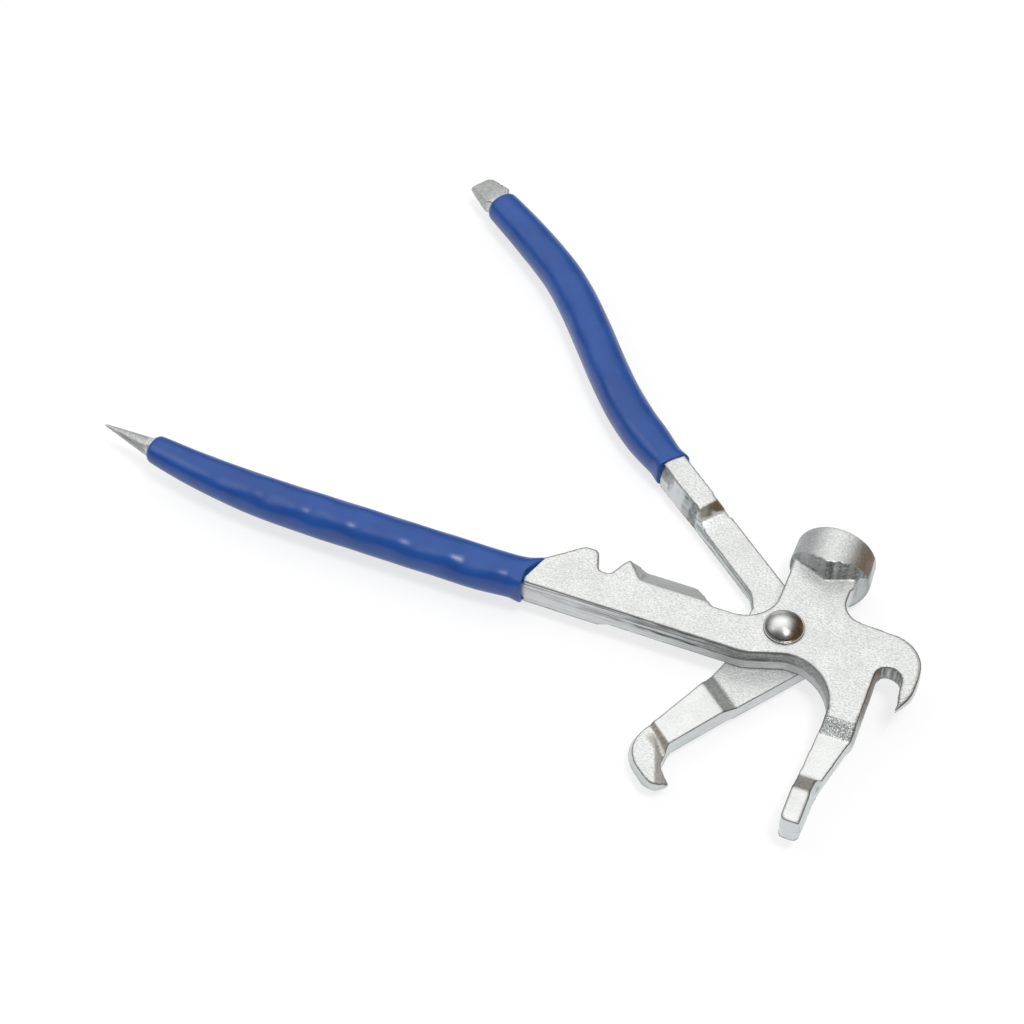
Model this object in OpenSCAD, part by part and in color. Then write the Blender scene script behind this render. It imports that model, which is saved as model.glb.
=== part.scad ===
// Wheel weight pliers: two forged levers crossed on one rivet, each with a dipped grip.
// Millimetres, Z up. The origin is the middle of the flat face of the rivet's tail.
// The hammer lever's handle lies along -X and its hammer points along +Y.
// The hook lever lies under it and is drawn with its own handle along -X, then turned open.

/* [Joint] */
// Angle between the two levers as they lie open
open_angle = 39.3; // [30:0.1:44]
// Diameter of the rivet's shank
pin_d = 8; // [6:0.5:9]
// Radial clearance of the levers on the rivet
pin_clear = 0.05; // [0.02:0.01:0.1]
// Gap between the flat faces of the two levers, and under the hook lever
lap_gap = 0.15; // [0.1:0.05:0.3]
// Diameter of the rivet's domed head
head_d = 11.6; // [10:0.2:14]
// Height of the dome above its rim
dome_h = 2.6; // [2:0.1:3.5]
// Height of the thin rim under the dome
rim_h = 0.6; // [0.3:0.1:1]
// Diameter of the rivet's flat tail
tail_d = 12; // [10:0.2:14]
// Height of the rivet's flat tail
tail_h = 1.2; // [0.8:0.1:2]

/* [Thicknesses] */
// Hammer lever where it is lapped at the joint
hammer_joint_t = 8; // [6:0.5:10]
// Hammer lever's bare handle
hammer_shank_t = 9.5; // [9:0.25:11]
// Hook lever's plate
hook_plate_t = 4.5; // [3.5:0.25:5.5]
// Hook lever's bare handle
hook_shank_t = 9.5; // [9:0.25:11]
// Hammer lever's jaw arm
hammer_arm_t = 5.4; // [4:0.2:6.5]
// Pad at the end of the hammer lever's jaw
pad_t = 9; // [8.2:0.2:10]
// Claw beside the jaw
claw_t = 5.6; // [4:0.2:7]
// Hook lever's jaw arm
hook_arm_t = 5.7; // [5:0.1:6.5]
// Hook at the end of the hook lever's jaw
hook_t = 5; // [4:0.1:5.6]

/* [Hammer lever shank] */
// Distance from the pivot to the edge of the hammer lever's grip
hammer_grip_start = 73.6; // [70:0.2:78]
// Distance from the pivot to the edge of the hook lever's grip
hook_grip_start = 69.8; // [66:0.2:76]
// Outer edge of the shank below the pivot line
shank_out = 11.6; // [9.5:0.1:12]
// Inner edge of the handle at the grip, below the pivot line
handle_in = 3.3; // [3:0.1:3.6]
// Bottom of the trimming notch above the pivot line
notch_floor = 0.6; // [0.6:0.1:2]
// Width of the notch's floor
notch_w = 3.2; // [2:0.1:4]
// Distance from the pivot to the middle of the notch
notch_x = 53.1; // [53:0.1:55]
// Height of the hump and the peak beside the notch, above the pivot line
hump_y = 7.2; // [7:0.1:9]
// Length of the hump's flat top
hump_l = 4.4; // [3:0.1:6]
// Lower edge of the ground bevel at its shoulder, above the pivot line
bevel_y = 1.2; // [1:0.1:3]
// Cutting edge of the trimming blade, above the pivot line
blade_y = 10.2; // [9:0.1:12]
// Distance from the pivot to the near end of the cutting edge
blade_near = 27.7; // [26:0.1:30]
// Distance from the pivot to the far end of the cutting edge
blade_far = 43.1; // [42:0.1:44]
// Width of the blunt land left on the cutting edge
blade_land = 0.3; // [0.2:0.1:0.8]

/* [Hammer lever head] */
// Diameter of the hammer
hammer_d = 23.4; // [23:0.1:26]
// Sideways offset of the hammer's axis from the pivot
hammer_x = 5.5; // [4:0.25:6]
// Distance from the pivot to the hammer's striking face
hammer_face_y = 34.8; // [32:0.1:44]
// Distance from the pivot to the ridge at the back of the hammer
hammer_back_y = 21; // [20:0.2:23]
// Slope of the two facets at the back of the hammer
hammer_back_slope = 22; // [15:1:28]
// Chamfer round the striking face
hammer_chamfer = 1; // [0.5:0.1:2]
// Height of the hammer's axis over the underside of the joint
hammer_axis_up = 3.8; // [2.5:0.1:5]
// Left side of the hammer's neck, left of the pivot
neck_left = 4.7; // [4.6:0.1:6]
// Right side of the hammer's neck, right of the pivot
neck_right = 13.7; // [12.5:0.1:14.5]
// Radius of the hollow between the blade and the neck
throat_r = 10; // [7:0.5:11]
// Radius of the hollow between the neck and the claw
crook_r = 6; // [4:0.5:7]
// Top edge of the claw above the pivot line
claw_y = 10; // [9:0.1:12]
// Reach of the claw's back from the pivot
claw_x = 39.7; // [38:0.1:41]
// Radius of the claw's back
claw_r = 10.8; // [8:0.1:12]
// Distance of the claw's tip below the pivot line
claw_tip_y = 15.8; // [14:0.1:18]
// How far the claw's tip lies inside the claw's back
claw_tip_in = 3; // [2:0.1:3.6]
// Thickness of the claw at its tip
claw_tip_t = 1; // [0.5:0.1:3]
// Width of the slot between the claw and the jaw
slot_w = 6.9; // [6:0.1:7.4]
// Distance of the slot's round end below the pivot line
slot_y = 1.8; // [0.5:0.1:3]

/* [Hammer lever jaw] */
// Inner side of the jaw, right of the pivot
jaw_in = 18.9; // [17.5:0.1:20]
// Width of the jaw at its root
jaw_w = 9.2; // [8.5:0.1:10]
// Top of the hollow between the shank and the jaw, below the pivot line
hollow_y = 7.8; // [7:0.1:9]
// Radius of the hollow between the shank and the jaw
jaw_r = 14; // [12:0.5:14.5]
// Distance of the rough step from the pivot line
step_y = 23.6; // [21.6:0.2:24]
// Length of the rough step
step_l = 4; // [3:0.2:6]
// Distance of the foot of the pad's ramp from the pivot line
ramp_y = 42.2; // [38:0.2:43]
// Length of the pad's ramp
ramp_l = 6; // [4:0.2:7]
// Distance of the jaw's end from the pivot line
jaw_end = 59; // [55:0.2:62]
// Width of the pad's foot
pad_w = 6; // [5:0.1:7]
// How far the pad's outer side slopes in to its top
pad_draft = 1; // [0.4:0.1:1.5]
// How far the pad's inner side lies behind the jaw's root
pad_in = 1.4; // [0.6:0.1:2]
// Rounding of the jaw's end corners
pad_r = 1.8; // [1:0.1:2.4]

/* [Hook lever plate] */
// Inner edge of the plate above the pivot line
plate_in = 2.6; // [1.6:0.1:3]
// Outer edge of the plate above the pivot line
plate_out = 12.8; // [12.4:0.1:14]
// Distance from the pivot to the top of the handle's step
hook_step_x = 49.7; // [48.5:0.1:52]
// Length of the handle's step
hook_step_l = 2.2; // [1:0.1:2.2]
// Outer edge of the handle at the grip
hook_handle_out = 11; // [11:0.1:12]
// How far the handle's inner side slopes in to its top
hook_draft = 0.4; // [0.2:0.1:1]
// How far the inner side slopes in to the underside
hook_undercut = 0.9; // [0.2:0.1:1.4]
// Width of the handle's flat top
hook_top_w = 7.5; // [7:0.1:8]
// Distance from the pivot to where the plate's inner edge turns to the boss
boss_x = 20; // [18:0.5:22]
// Radius of the boss
boss_r = 12; // [10:0.5:13]

/* [Hook lever jaw] */
// Outer side of the jaw at its root, left of the pivot
hook_root_left = 3.4; // [3:0.1:5]
// Inner side of the jaw at its root, right of the pivot
hook_root_right = 9.8; // [8:0.1:10]
// Distance of the ramp from the pivot line
hook_ramp_y = 22; // [20:0.2:23]
// Length of the ramp
hook_ramp_l = 4.6; // [3:0.2:6]
// Distance of the drop in front of the hook from the pivot line
hook_drop_y = 44.8; // [42:0.2:46]
// Length of the drop
hook_drop_l = 1.2; // [1:0.1:3]
// Inner side of the arm at the hook, right of the pivot
hook_arm_right = 13.7; // [12:0.1:14]
// Outer side of the arm at the hook, right of the pivot
hook_arm_left = 5.2; // [4.4:0.1:6]
// Rise of the hook's underside at its end
hook_lift = 2.2; // [0.5:0.1:2.4]
// Radius of the hook's back
hook_r = 10.2; // [8:0.1:10.4]
// Distance of the hook's end from the pivot line
hook_end = 56.8; // [54:0.2:60]
// Reach of the hook's tip, right of the pivot
hook_tip_x = 23.4; // [21:0.1:24.6]
// Distance of the hook's tip from the pivot line
hook_tip_y = 50.6; // [49:0.1:52]
// How far the underside rises towards the hook's point
hook_tip_lift = 1.4; // [0:0.1:1.8]
// Thickness left at the hook's inner lip by the ground bevel
lip_t = 3.5; // [2.4:0.1:4.4]
// Width of the ground bevel
lip_w = 3; // [2:0.1:4]
// Where the bevel's ridge starts, right of the pivot
ridge_x = 7.8; // [7:0.1:11]
// Turn of the ridge from square to the jaw
ridge_turn = 31; // [20:1:40]

/* [Handles] */
// How far the grips' middle lines lie below those of the bare handles
grip_low = 0.4; // [0:0.1:0.4]
// Outward sweep of the hook lever's grip
sway = 11.2; // [6:0.2:14]
// Where the sweep starts, from the pivot
sway_from = 86; // [78:1:90]
// Where the sweep ends, from the pivot
sway_to = 160; // [150:1:170]
// Radius of the bend back in front of the hook lever's tip
sway_back_r = 300; // [200:10:600]
// Where the hammer lever's handle starts to bend, from the pivot
bend_from = 142; // [130:1:150]
// Radius of that bend
bend_r = 290; // [250:1:500]
// Width of the steel inside the grips
tang_w = 7.3; // [6.9:0.1:7.5]
// Thickness of the steel inside the grips
tang_t = 8.8; // [8:0.1:9.2]
// Diameter of the spike's root, at the end of the hammer lever's grip
spike_d = 6.4; // [5:0.1:7]
// Diameter of the spike's blunt tip
spike_tip_d = 0.8; // [0.4:0.1:1.6]
// Length of the bare spike
spike_l = 17; // [12:0.5:24]
// Width of the driver blade at the end of the hook lever's grip
driver_w = 9; // [7:0.1:9.6]
// Width of the driver blade at its edge
driver_tip_w = 7.4; // [5:0.1:8]
// Thickness of the driver blade at its edge
driver_tip_t = 1.4; // [0.8:0.1:2]
// Length of the bare driver blade
driver_l = 12; // [9:0.5:18]
// Length over which the driver blade widens from its root
driver_neck_l = 2; // [1:0.1:4]

/* [Grips] */
// Distance from the pivot to the end of the hammer lever's grip
hammer_grip_end = 195; // [185:0.5:205]
// Distance from the pivot to the end of the hook lever's grip
hook_grip_end = 193; // [185:1:205]
// Width of a grip over its middle
grip_w = 13.3; // [11.5:0.1:15]
// Thickness of a grip over its middle
grip_t = 11.8; // [11.2:0.1:14]
// Width of a grip at its far end
grip_end_w = 8.8; // [8.4:0.1:10]
// Thickness of a grip at its far end
grip_end_t = 8.4; // [8.2:0.1:10]
// Width of a grip at its mouth
grip_mouth_w = 10.4; // [10:0.1:11.4]
// Thickness of a grip at its mouth
grip_mouth_t = 10.9; // [10.6:0.1:11.6]
// Wall of a grip at its far end
grip_rim = 0.7; // [0.5:0.1:1.2]
// How much wider and thicker the hook lever's grip stays at its far end
hook_grip_more = 2.2; // [0:0.1:2.6]
// Gap between a grip and the steel inside it
grip_gap = 0.05; // [0.02:0.01:0.1]
// Length of the far stretch over which a grip grows slim
grip_slim_l = 66; // [40:1:80]

/* [Hidden] */
$fn = 96;
eps = 0.01;
big = 400;
arc_step = 12;

// Heights of the stack, from the rivet's tail upwards
hook_z0 = tail_h + lap_gap;
hook_z1 = hook_z0 + hook_plate_t;
joint_z0 = hook_z1 + lap_gap;
joint_z1 = joint_z0 + hammer_joint_t;
hammer_shank_z0 = joint_z1 - hammer_shank_t;
hook_shank_z1 = hook_z0 + hook_shank_t;
hammer_z = joint_z0 + hammer_axis_up;

// Middle lines of the two handles where they enter their grips
hammer_line_y = -(shank_out + handle_in) / 2 - grip_low;
hook_line_y = (plate_in + hook_handle_out) / 2 - grip_low;
hammer_line_z = (hammer_shank_z0 + joint_z1) / 2;
hook_line_z = (hook_z0 + hook_shank_z1) / 2;

steel = [0.80, 0.81, 0.81];
vinyl = [0.16, 0.30, 0.63];

// An outline whose corners [x, y, r] are rounded with radius r
function unit(v) = v / norm(v);
function turn(a, b) = (b - a + 540) % 360 - 180;
function corner(a, p, b) =
    let (
        r = p[2],
        c = [p[0], p[1]],
        u = unit([a[0], a[1]] - c),
        v = unit([b[0], b[1]] - c),
        half = acos(u * v) / 2,
        m = c + unit(u + v) * r / sin(half),
        s = c + u * r / tan(half) - m,
        e = c + v * r / tan(half) - m,
        a0 = atan2(s[1], s[0]),
        sweep = turn(a0, atan2(e[1], e[0])),
        n = max(2, ceil(abs(sweep) / arc_step))
    )
    [for (i = [0:n]) m + r * [cos(a0 + sweep * i / n), sin(a0 + sweep * i / n)]];
function rounded(pts) =
    let (n = len(pts))
    [for (i = [0:n - 1])
        for (q = pts[i][2] > 0
            ? corner(pts[(i + n - 1) % n], pts[i], pts[(i + 1) % n])
            : [[pts[i][0], pts[i][1]]]) q];

// Half a superellipse's shape, used for the sections of the handles
function bow(c, k) = sign(c) * pow(abs(c), 2 / k);
function section(w, t, k, n) =
    [for (i = [0:n - 1]) [bow(cos(360 * i / n), k) * w / 2, bow(sin(360 * i / n), k) * t / 2]];
function ease(f) = let (g = min(1, max(0, f))) g * g * (3 - 2 * g);

// Sideways place of each handle's middle line, s being the distance from the pivot
function hammer_path(s) = hammer_line_y + pow(max(0, s - bend_from), 2) / (2 * bend_r);
function hook_path(s) =
    hook_line_y + sway * ease((s - sway_from) / (sway_to - sway_from))
    - pow(max(0, s - sway_to), 2) / (2 * sway_back_r);
function path_y(side, s) = side > 0 ? hook_path(s) : hammer_path(s);
function path_z(side) = side > 0 ? hook_line_z : hammer_line_z;

// A tube of changing sections along a handle; each row is [s, width, thickness]
section_n = 24;
section_k = 2.9;
function ring(side, s, w, t) =
    let (
        d = unit([-2 * eps, path_y(side, s + eps) - path_y(side, s - eps)]),
        p = [-s, path_y(side, s)]
    )
    [for (q = section(w, t, section_k, section_n))
        [p[0] + q[0] * d[1], p[1] - q[0] * d[0], path_z(side) + q[1]]];
module swept(side, rows) {
    m = len(rows);
    n = section_n;
    points = [for (r = rows) for (q = ring(side, r[0], r[1], r[2])) q];
    sides = [for (j = [0:m - 2]) for (i = [0:n - 1])
        for (f = [
            [j * n + i, j * n + (i + 1) % n, (j + 1) * n + i],
            [j * n + (i + 1) % n, (j + 1) * n + (i + 1) % n, (j + 1) * n + i]
        ]) f];
    near = [for (i = [1:n - 2]) [0, i + 1, i]];
    far = [for (i = [1:n - 2]) [(m - 1) * n, (m - 1) * n + i, (m - 1) * n + i + 1]];
    polyhedron(points = points, faces = concat(sides, near, far));
}

// Widths and thicknesses of the steel and of the grip, s being the distance from the pivot
ring_step = 8;
slim_power = 2.4;
function slim(end, s) = pow(max(0, (s - end + grip_slim_l) / grip_slim_l), slim_power);
tang_end = [grip_end_w, grip_end_t] - 2 * grip_rim * [1, 1];
function end_size(side) = [grip_end_w, grip_end_t] + max(0, side) * hook_grip_more * [1, 1];
function tang_size(end, s) = [tang_w, tang_t] * (1 - slim(end, s)) + tang_end * slim(end, s);
function grip_size(side, start, end, s) =
    let (f = slim(end, s), g = ease((s - start) / ring_step))
    [grip_mouth_w, grip_mouth_t] * (1 - g)
    + ([grip_w, grip_t] * (1 - f) + end_size(side) * f) * g;
function stations(a, b) =
    let (n = ceil((b - a) / ring_step))
    [for (i = [0:n]) a + (b - a) * i / n];
function tang_rows(end, places, grow) =
    [for (s = places) let (q = tang_size(end, s)) [s, q[0] + 2 * grow, q[1] + 2 * grow]];
function grip_rows(side, start, end) =
    [for (s = stations(start, end)) let (q = grip_size(side, start, end, s)) [s, q[0], q[1]]];

module tang(side, start, end) {
    swept(side, tang_rows(end, stations(start - ring_step, end), 0));
}
module grip(side, start, end) {
    difference() {
        swept(side, grip_rows(side, start + grip_gap, end));
        swept(side, tang_rows(end, concat(stations(start - ring_step, end), [end + 1]), grip_gap));
    }
}

module pivot_bore() {
    translate([0, 0, -big / 2]) cylinder(h = big, d = pin_d + 2 * pin_clear);
}
// A solid drawn from its side: points are [distance along the jaw, height]
module across_x(pts) {
    rotate([90, 0, 90]) translate([0, 0, -big / 2]) linear_extrude(big) polygon(pts);
}
module across_y(pts) {
    translate([0, big / 2, 0]) rotate([90, 0, 0]) linear_extrude(big) polygon(pts);
}

// Hammer lever
tooth_run = 3;
hump_run = 2.2;
blade_run = 6.4;
peak_x = notch_x - notch_w / 2 - tooth_run;
hump_x1 = notch_x + notch_w / 2 + hump_run;
hump_x0 = hump_x1 + hump_l;
jaw_out = jaw_in + jaw_w;
neck_overlap = 6;
slot_r = 0.49 * slot_w;
hammer_outline = [
    [-hammer_grip_start, -shank_out, 0],
    [-hammer_grip_start, -handle_in, 0],
    [-hump_x0, hump_y, 3],
    [-hump_x1, hump_y, 2],
    [-notch_x - notch_w / 2, notch_floor, 1],
    [-notch_x + notch_w / 2, notch_floor, 1],
    [-peak_x, hump_y, 1],
    [-blade_far, blade_y, 0.6],
    [-blade_near, blade_y, 0.8],
    [-blade_near + blade_run, notch_floor, 1.5],
    [-neck_left, notch_floor, throat_r],
    [-neck_left, hammer_back_y + neck_overlap, 0],
    [neck_right, hammer_back_y + neck_overlap, 0],
    [neck_right, claw_y + 0.8, crook_r],
    [claw_x, claw_y - 0.6, claw_r],
    [claw_x, -claw_tip_y / 2, 9],
    [claw_x - claw_tip_in, -claw_tip_y, 0.3],
    [jaw_out + slot_w, -claw_tip_y / 2, 6],
    [jaw_out + slot_w, -slot_y, slot_r],
    [jaw_out, -slot_y, slot_r],
    [jaw_out + 0.3, -step_y - step_l / 2, 8],
    [jaw_in - pad_in + pad_w + 0.4, -ramp_y - ramp_l / 2, 16],
    [jaw_in - pad_in + pad_w, -jaw_end, pad_r],
    [jaw_in - pad_in, -jaw_end, pad_r],
    [jaw_in - pad_in, -ramp_y - ramp_l, 0],
    [jaw_in, -step_y, 0],
    [jaw_in, -hollow_y, jaw_r],
    [jaw_in - jaw_r - 1.6, -hollow_y, 8],
    [-hollow_y, -shank_out, 8],
];

// The lever is drawn at its full thickness, and the lapped joint is relieved on its underside
lap_ramp_l = 3;
pad_ramp_l = 2;
lap_rise = joint_z0 - hammer_shank_z0;
module hammer_plate() {
    ramp_x0 = -peak_x - tooth_run + 1;
    difference() {
        translate([0, 0, hammer_shank_z0])
            linear_extrude(hammer_shank_t) polygon(rounded(hammer_outline));
        intersection() {
            across_y([
                [ramp_x0 - lap_ramp_l, hammer_shank_z0 - lap_rise],
                [ramp_x0 + lap_ramp_l, joint_z0],
                [big, joint_z0],
                [big, hammer_shank_z0 - lap_rise],
            ]);
            across_x([
                [big, -big],
                [big, big],
                [-ramp_y + pad_ramp_l, big],
                [-ramp_y + pad_ramp_l, joint_z0],
                [-ramp_y - pad_ramp_l, joint_z1 - pad_t],
                [-big, joint_z1 - pad_t],
                [-big, -big],
            ]);
        }
    }
}
// The ground bevel of the trimming blade, and its run-out up to the peak
runout_turn = 40;
runout_slope = 1.4;
module blade_grind() {
    slope = (joint_z1 - joint_z0 - blade_land) / (blade_y - bevel_y);
    intersection() {
        across_x([
            [bevel_y, joint_z1],
            [bevel_y, big],
            [big, big],
            [big, joint_z1 - slope * (big - bevel_y)],
        ]);
        translate([-blade_far + 0.5, bevel_y, joint_z1]) rotate([0, 0, runout_turn]) across_y([
            [0, 0],
            [0, big],
            [big, big],
            [big, -runout_slope * big],
        ]);
        translate([-peak_x - 1, bevel_y, 0]) cube([peak_x - blade_near / 2, big, big]);
    }
}
module jaw_relief() {
    arm_z1 = joint_z0 + hammer_arm_t;
    across_x([
        [-step_y, joint_z1 + 1],
        [-step_y, joint_z1],
        [-step_y - step_l, arm_z1],
        [-ramp_y, arm_z1],
        [-ramp_y - ramp_l, joint_z1],
        [-ramp_y - ramp_l, joint_z1 + 1],
    ]);
}
module pad_side() {
    x1 = jaw_in - pad_in + pad_w;
    z0 = joint_z0 + hammer_arm_t - pad_ramp_l - 1;
    intersection() {
        across_y([
            [big, z0],
            [big, big],
            [x1 - pad_draft, big],
            [x1 - pad_draft, joint_z1],
            [x1, z0],
        ]);
        translate([0, -big - ramp_y, 0]) cube(big);
    }
}
// The claw is thinner than the lapped joint and tapers to its tip, on its underside
module claw_relief() {
    x0 = jaw_out - 1;
    z0 = joint_z1 - claw_t;
    intersection() {
        across_y([[x0, -big], [x0, joint_z0], [x0 + 1, z0], [big, z0], [big, -big]]);
        translate([0, -slot_y - slot_w / 2, -big / 2]) cube(big);
    }
    translate([jaw_out + slot_w / 2, 0, 0]) intersection() {
        translate([0, -big / 2, -big / 2]) cube(big);
        across_x([
            [big, -big],
            [big, z0],
            [-slot_y, z0],
            [-claw_tip_y - 1, joint_z1 - claw_tip_t],
            [-big, joint_z1 - claw_tip_t],
            [-big, -big],
        ]);
    }
}
module hammer_head() {
    y1 = hammer_face_y - hammer_chamfer;
    intersection() {
        translate([hammer_x, 0, hammer_z]) rotate([-90, 0, 0]) {
            cylinder(h = y1, d = hammer_d);
            translate([0, 0, y1 - eps])
                cylinder(h = hammer_chamfer + eps, d1 = hammer_d, d2 = hammer_d - 2 * hammer_chamfer);
        }
        back_rise = hammer_d * tan(hammer_back_slope);
        translate([hammer_x, hammer_back_y, -big / 2]) linear_extrude(big) polygon([
            [0, 0],
            [hammer_d, back_rise],
            [hammer_d, big],
            [-hammer_d, big],
            [-hammer_d, back_rise],
        ]);
    }
}
root_l = 1;
module spike() {
    s0 = hammer_grip_end;
    d = [-2 * eps, hammer_path(s0 + eps) - hammer_path(s0 - eps)];
    translate([-s0, hammer_path(s0), hammer_line_z])
        rotate([0, 0, atan2(d[1], d[0])])
            rotate([0, 90, 0]) translate([0, 0, -root_l])
                cylinder(h = spike_l + root_l,
                    d1 = spike_d + (spike_d - spike_tip_d) * root_l / spike_l, d2 = spike_tip_d);
}
module hammer_lever() {
    color(steel) difference() {
        union() {
            difference() {
                hammer_plate();
                blade_grind();
                jaw_relief();
                pad_side();
                claw_relief();
            }
            hammer_head();
            tang(-1, hammer_grip_start, hammer_grip_end);
            spike();
        }
        pivot_bore();
    }
}

// Hook lever, in its own frame
boss_heel_l = 4.4;
hook_waist = 3.3;
hook_bulge = 2.4;
crook_l = 4.1;
crook_rise = 0.6;
hook_outline = [
    [-hook_grip_start, plate_in - 0.4, 0],
    [-hook_step_x, plate_in, 0],
    [-boss_x, plate_in, 3],
    [-boss_x + boss_heel_l, plate_in - boss_heel_l / 2, 2],
    [-hook_root_left, -hook_ramp_y + 6, 4],
    [-hook_root_left + hook_waist, -hook_ramp_y - hook_bulge, 8],
    [hook_arm_left - 0.2, -hook_drop_y + 0.4, 3],
    [hook_arm_left - 1, -hook_end, hook_r],
    [hook_tip_x - 1, -hook_end, 4.6],
    [hook_tip_x, -hook_tip_y, 0.4],
    [hook_arm_right + crook_l, -hook_tip_y + crook_rise, 4],
    [hook_arm_right, -hook_drop_y, 3],
    [hook_root_right + hook_bulge, -hook_ramp_y - hook_ramp_l - 0.8, 10],
    [hook_root_right + 2.2, -hook_ramp_y, 10],
    [hook_root_right, plate_out, boss_r],
    [-hook_step_x + 2, plate_out, 8],
    [-hook_grip_start, hook_handle_out, 0],
];
module hook_plan(z0, z1) {
    translate([0, 0, z0]) linear_extrude(z1 - z0) polygon(rounded(hook_outline));
}
module hook_handle() {
    top_in = plate_in + hook_draft;
    intersection() {
        hook_plan(hook_z0, hook_shank_z1);
        across_x([
            [plate_in + hook_undercut, hook_z0],
            [plate_in - hook_draft, hook_z1],
            [top_in, hook_shank_z1],
            [top_in + hook_top_w, hook_shank_z1],
            [plate_out, hook_z1],
            [plate_out, hook_z0],
        ]);
        across_y([
            [-big, 0],
            [-big, big],
            [-hook_step_x, big],
            [-hook_step_x, hook_shank_z1],
            [-hook_step_x + hook_step_l, hook_z1],
            [-hook_step_x + hook_step_l, 0],
        ]);
    }
}
arm_lift = 0.3;
module hook_jaw() {
    arm_z1 = hook_z0 + arm_lift + hook_arm_t;
    intersection() {
        hook_plan(hook_z0, arm_z1);
        across_x([
            [big, hook_z0],
            [big, hook_z1],
            [-hook_ramp_y, hook_z1],
            [-hook_ramp_y - hook_ramp_l, arm_z1],
            [-hook_drop_y, arm_z1],
            [-hook_drop_y - hook_drop_l, hook_z0 + hook_t],
            [-big, hook_z0 + hook_t],
            [-hook_end, hook_z0 + hook_lift],
            [-hook_end + hook_r / 2, hook_z0],
            [-hook_drop_y, hook_z0],
            [-hook_drop_y + 2, hook_z0 + arm_lift],
            [-hook_ramp_y - hook_ramp_l, hook_z0 + arm_lift],
            [-hook_ramp_y, hook_z0],
        ]);
        across_y([
            [-big, hook_z0],
            [hook_arm_right + hook_bulge, hook_z0],
            [hook_tip_x, hook_z0 + hook_tip_lift],
            [hook_tip_x, big],
            [-big, big],
        ]);
    }
}
// The bevel ground on the hook's inner side, from a ridge down to the lip, in front of the drop
module hook_grind() {
    foot_y = -hook_drop_y - hook_drop_l;
    z1 = hook_z0 + hook_t;
    drop_slope = hook_drop_l / (arm_lift + hook_arm_t - hook_t);
    intersection() {
        translate([ridge_x, foot_y, z1]) rotate([0, 0, -ridge_turn]) across_x([
            [0, 0],
            [0, big],
            [big, big],
            [big, (lip_t - hook_t) / lip_w * big],
        ]);
        across_x([
            [foot_y - drop_slope * z1, 0],
            [foot_y, z1],
            [foot_y, big],
            [-big, big],
            [-big, 0],
        ]);
    }
}
module hook_lever() {
    color(steel) rotate([0, 0, -open_angle]) difference() {
        union() {
            difference() {
                hook_jaw();
                hook_grind();
            }
            hook_handle();
            tang(1, hook_grip_start, hook_grip_end);
            driver();
        }
        pivot_bore();
    }
}
// The driver blade is flat on both faces and slopes to its edge
module driver() {
    s0 = hook_grip_end;
    d = [-2 * eps, hook_path(s0 + eps) - hook_path(s0 - eps)];
    // A block of this share of the tang's end section fits inside its rounded corners
    share = 0.78;
    root_w = tang_end[0] * share;
    root_t = tang_end[1] * share;
    translate([-s0, hook_path(s0), hook_line_z]) rotate([0, 0, atan2(d[1], d[0])])
        intersection() {
            across_y([
                [-root_l, -root_t / 2],
                [0, -root_t / 2],
                [driver_l, -driver_tip_t / 2],
                [driver_l, driver_tip_t / 2],
                [0, root_t / 2],
                [-root_l, root_t / 2],
            ]);
            translate([0, 0, -big / 2]) linear_extrude(big) polygon([
                [-root_l, -root_w / 2],
                [0, -root_w / 2],
                [driver_neck_l, -driver_w / 2],
                [driver_l, -driver_tip_w / 2],
                [driver_l, driver_tip_w / 2],
                [driver_neck_l, driver_w / 2],
                [0, root_w / 2],
                [-root_l, root_w / 2],
            ]);
        }
}

// Rivet: a low dome with a thin rim on top, a plain shank and a flat peened tail
module pivot_rivet() {
    dome_r = (pow(head_d / 2, 2) + pow(dome_h, 2)) / (2 * dome_h);
    color([0.72, 0.71, 0.69]) union() {
        cylinder(h = joint_z1 + rim_h, d = pin_d);
        cylinder(h = tail_h / 2 + eps, d1 = tail_d - tail_h, d2 = tail_d);
        translate([0, 0, tail_h / 2]) cylinder(h = tail_h / 2, d = tail_d);
        translate([0, 0, joint_z1]) cylinder(h = rim_h, d = head_d);
        intersection() {
            translate([0, 0, joint_z1 + rim_h + dome_h - dome_r]) sphere(dome_r);
            translate([0, 0, joint_z1 + rim_h - eps]) cylinder(h = big, d = head_d);
        }
    }
}
module hammer_lever_grip() {
    color(vinyl) grip(-1, hammer_grip_start, hammer_grip_end);
}
module hook_lever_grip() {
    color(vinyl) rotate([0, 0, -open_angle]) grip(1, hook_grip_start, hook_grip_end);
}

hammer_lever();
hook_lever();
pivot_rivet();
hammer_lever_grip();
hook_lever_grip();
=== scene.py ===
"""Looks of the wheel weight pliers: forged levers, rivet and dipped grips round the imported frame."""
import math

import bmesh
import bpy
import numpy as np
from mathutils import Matrix, Vector


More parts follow.
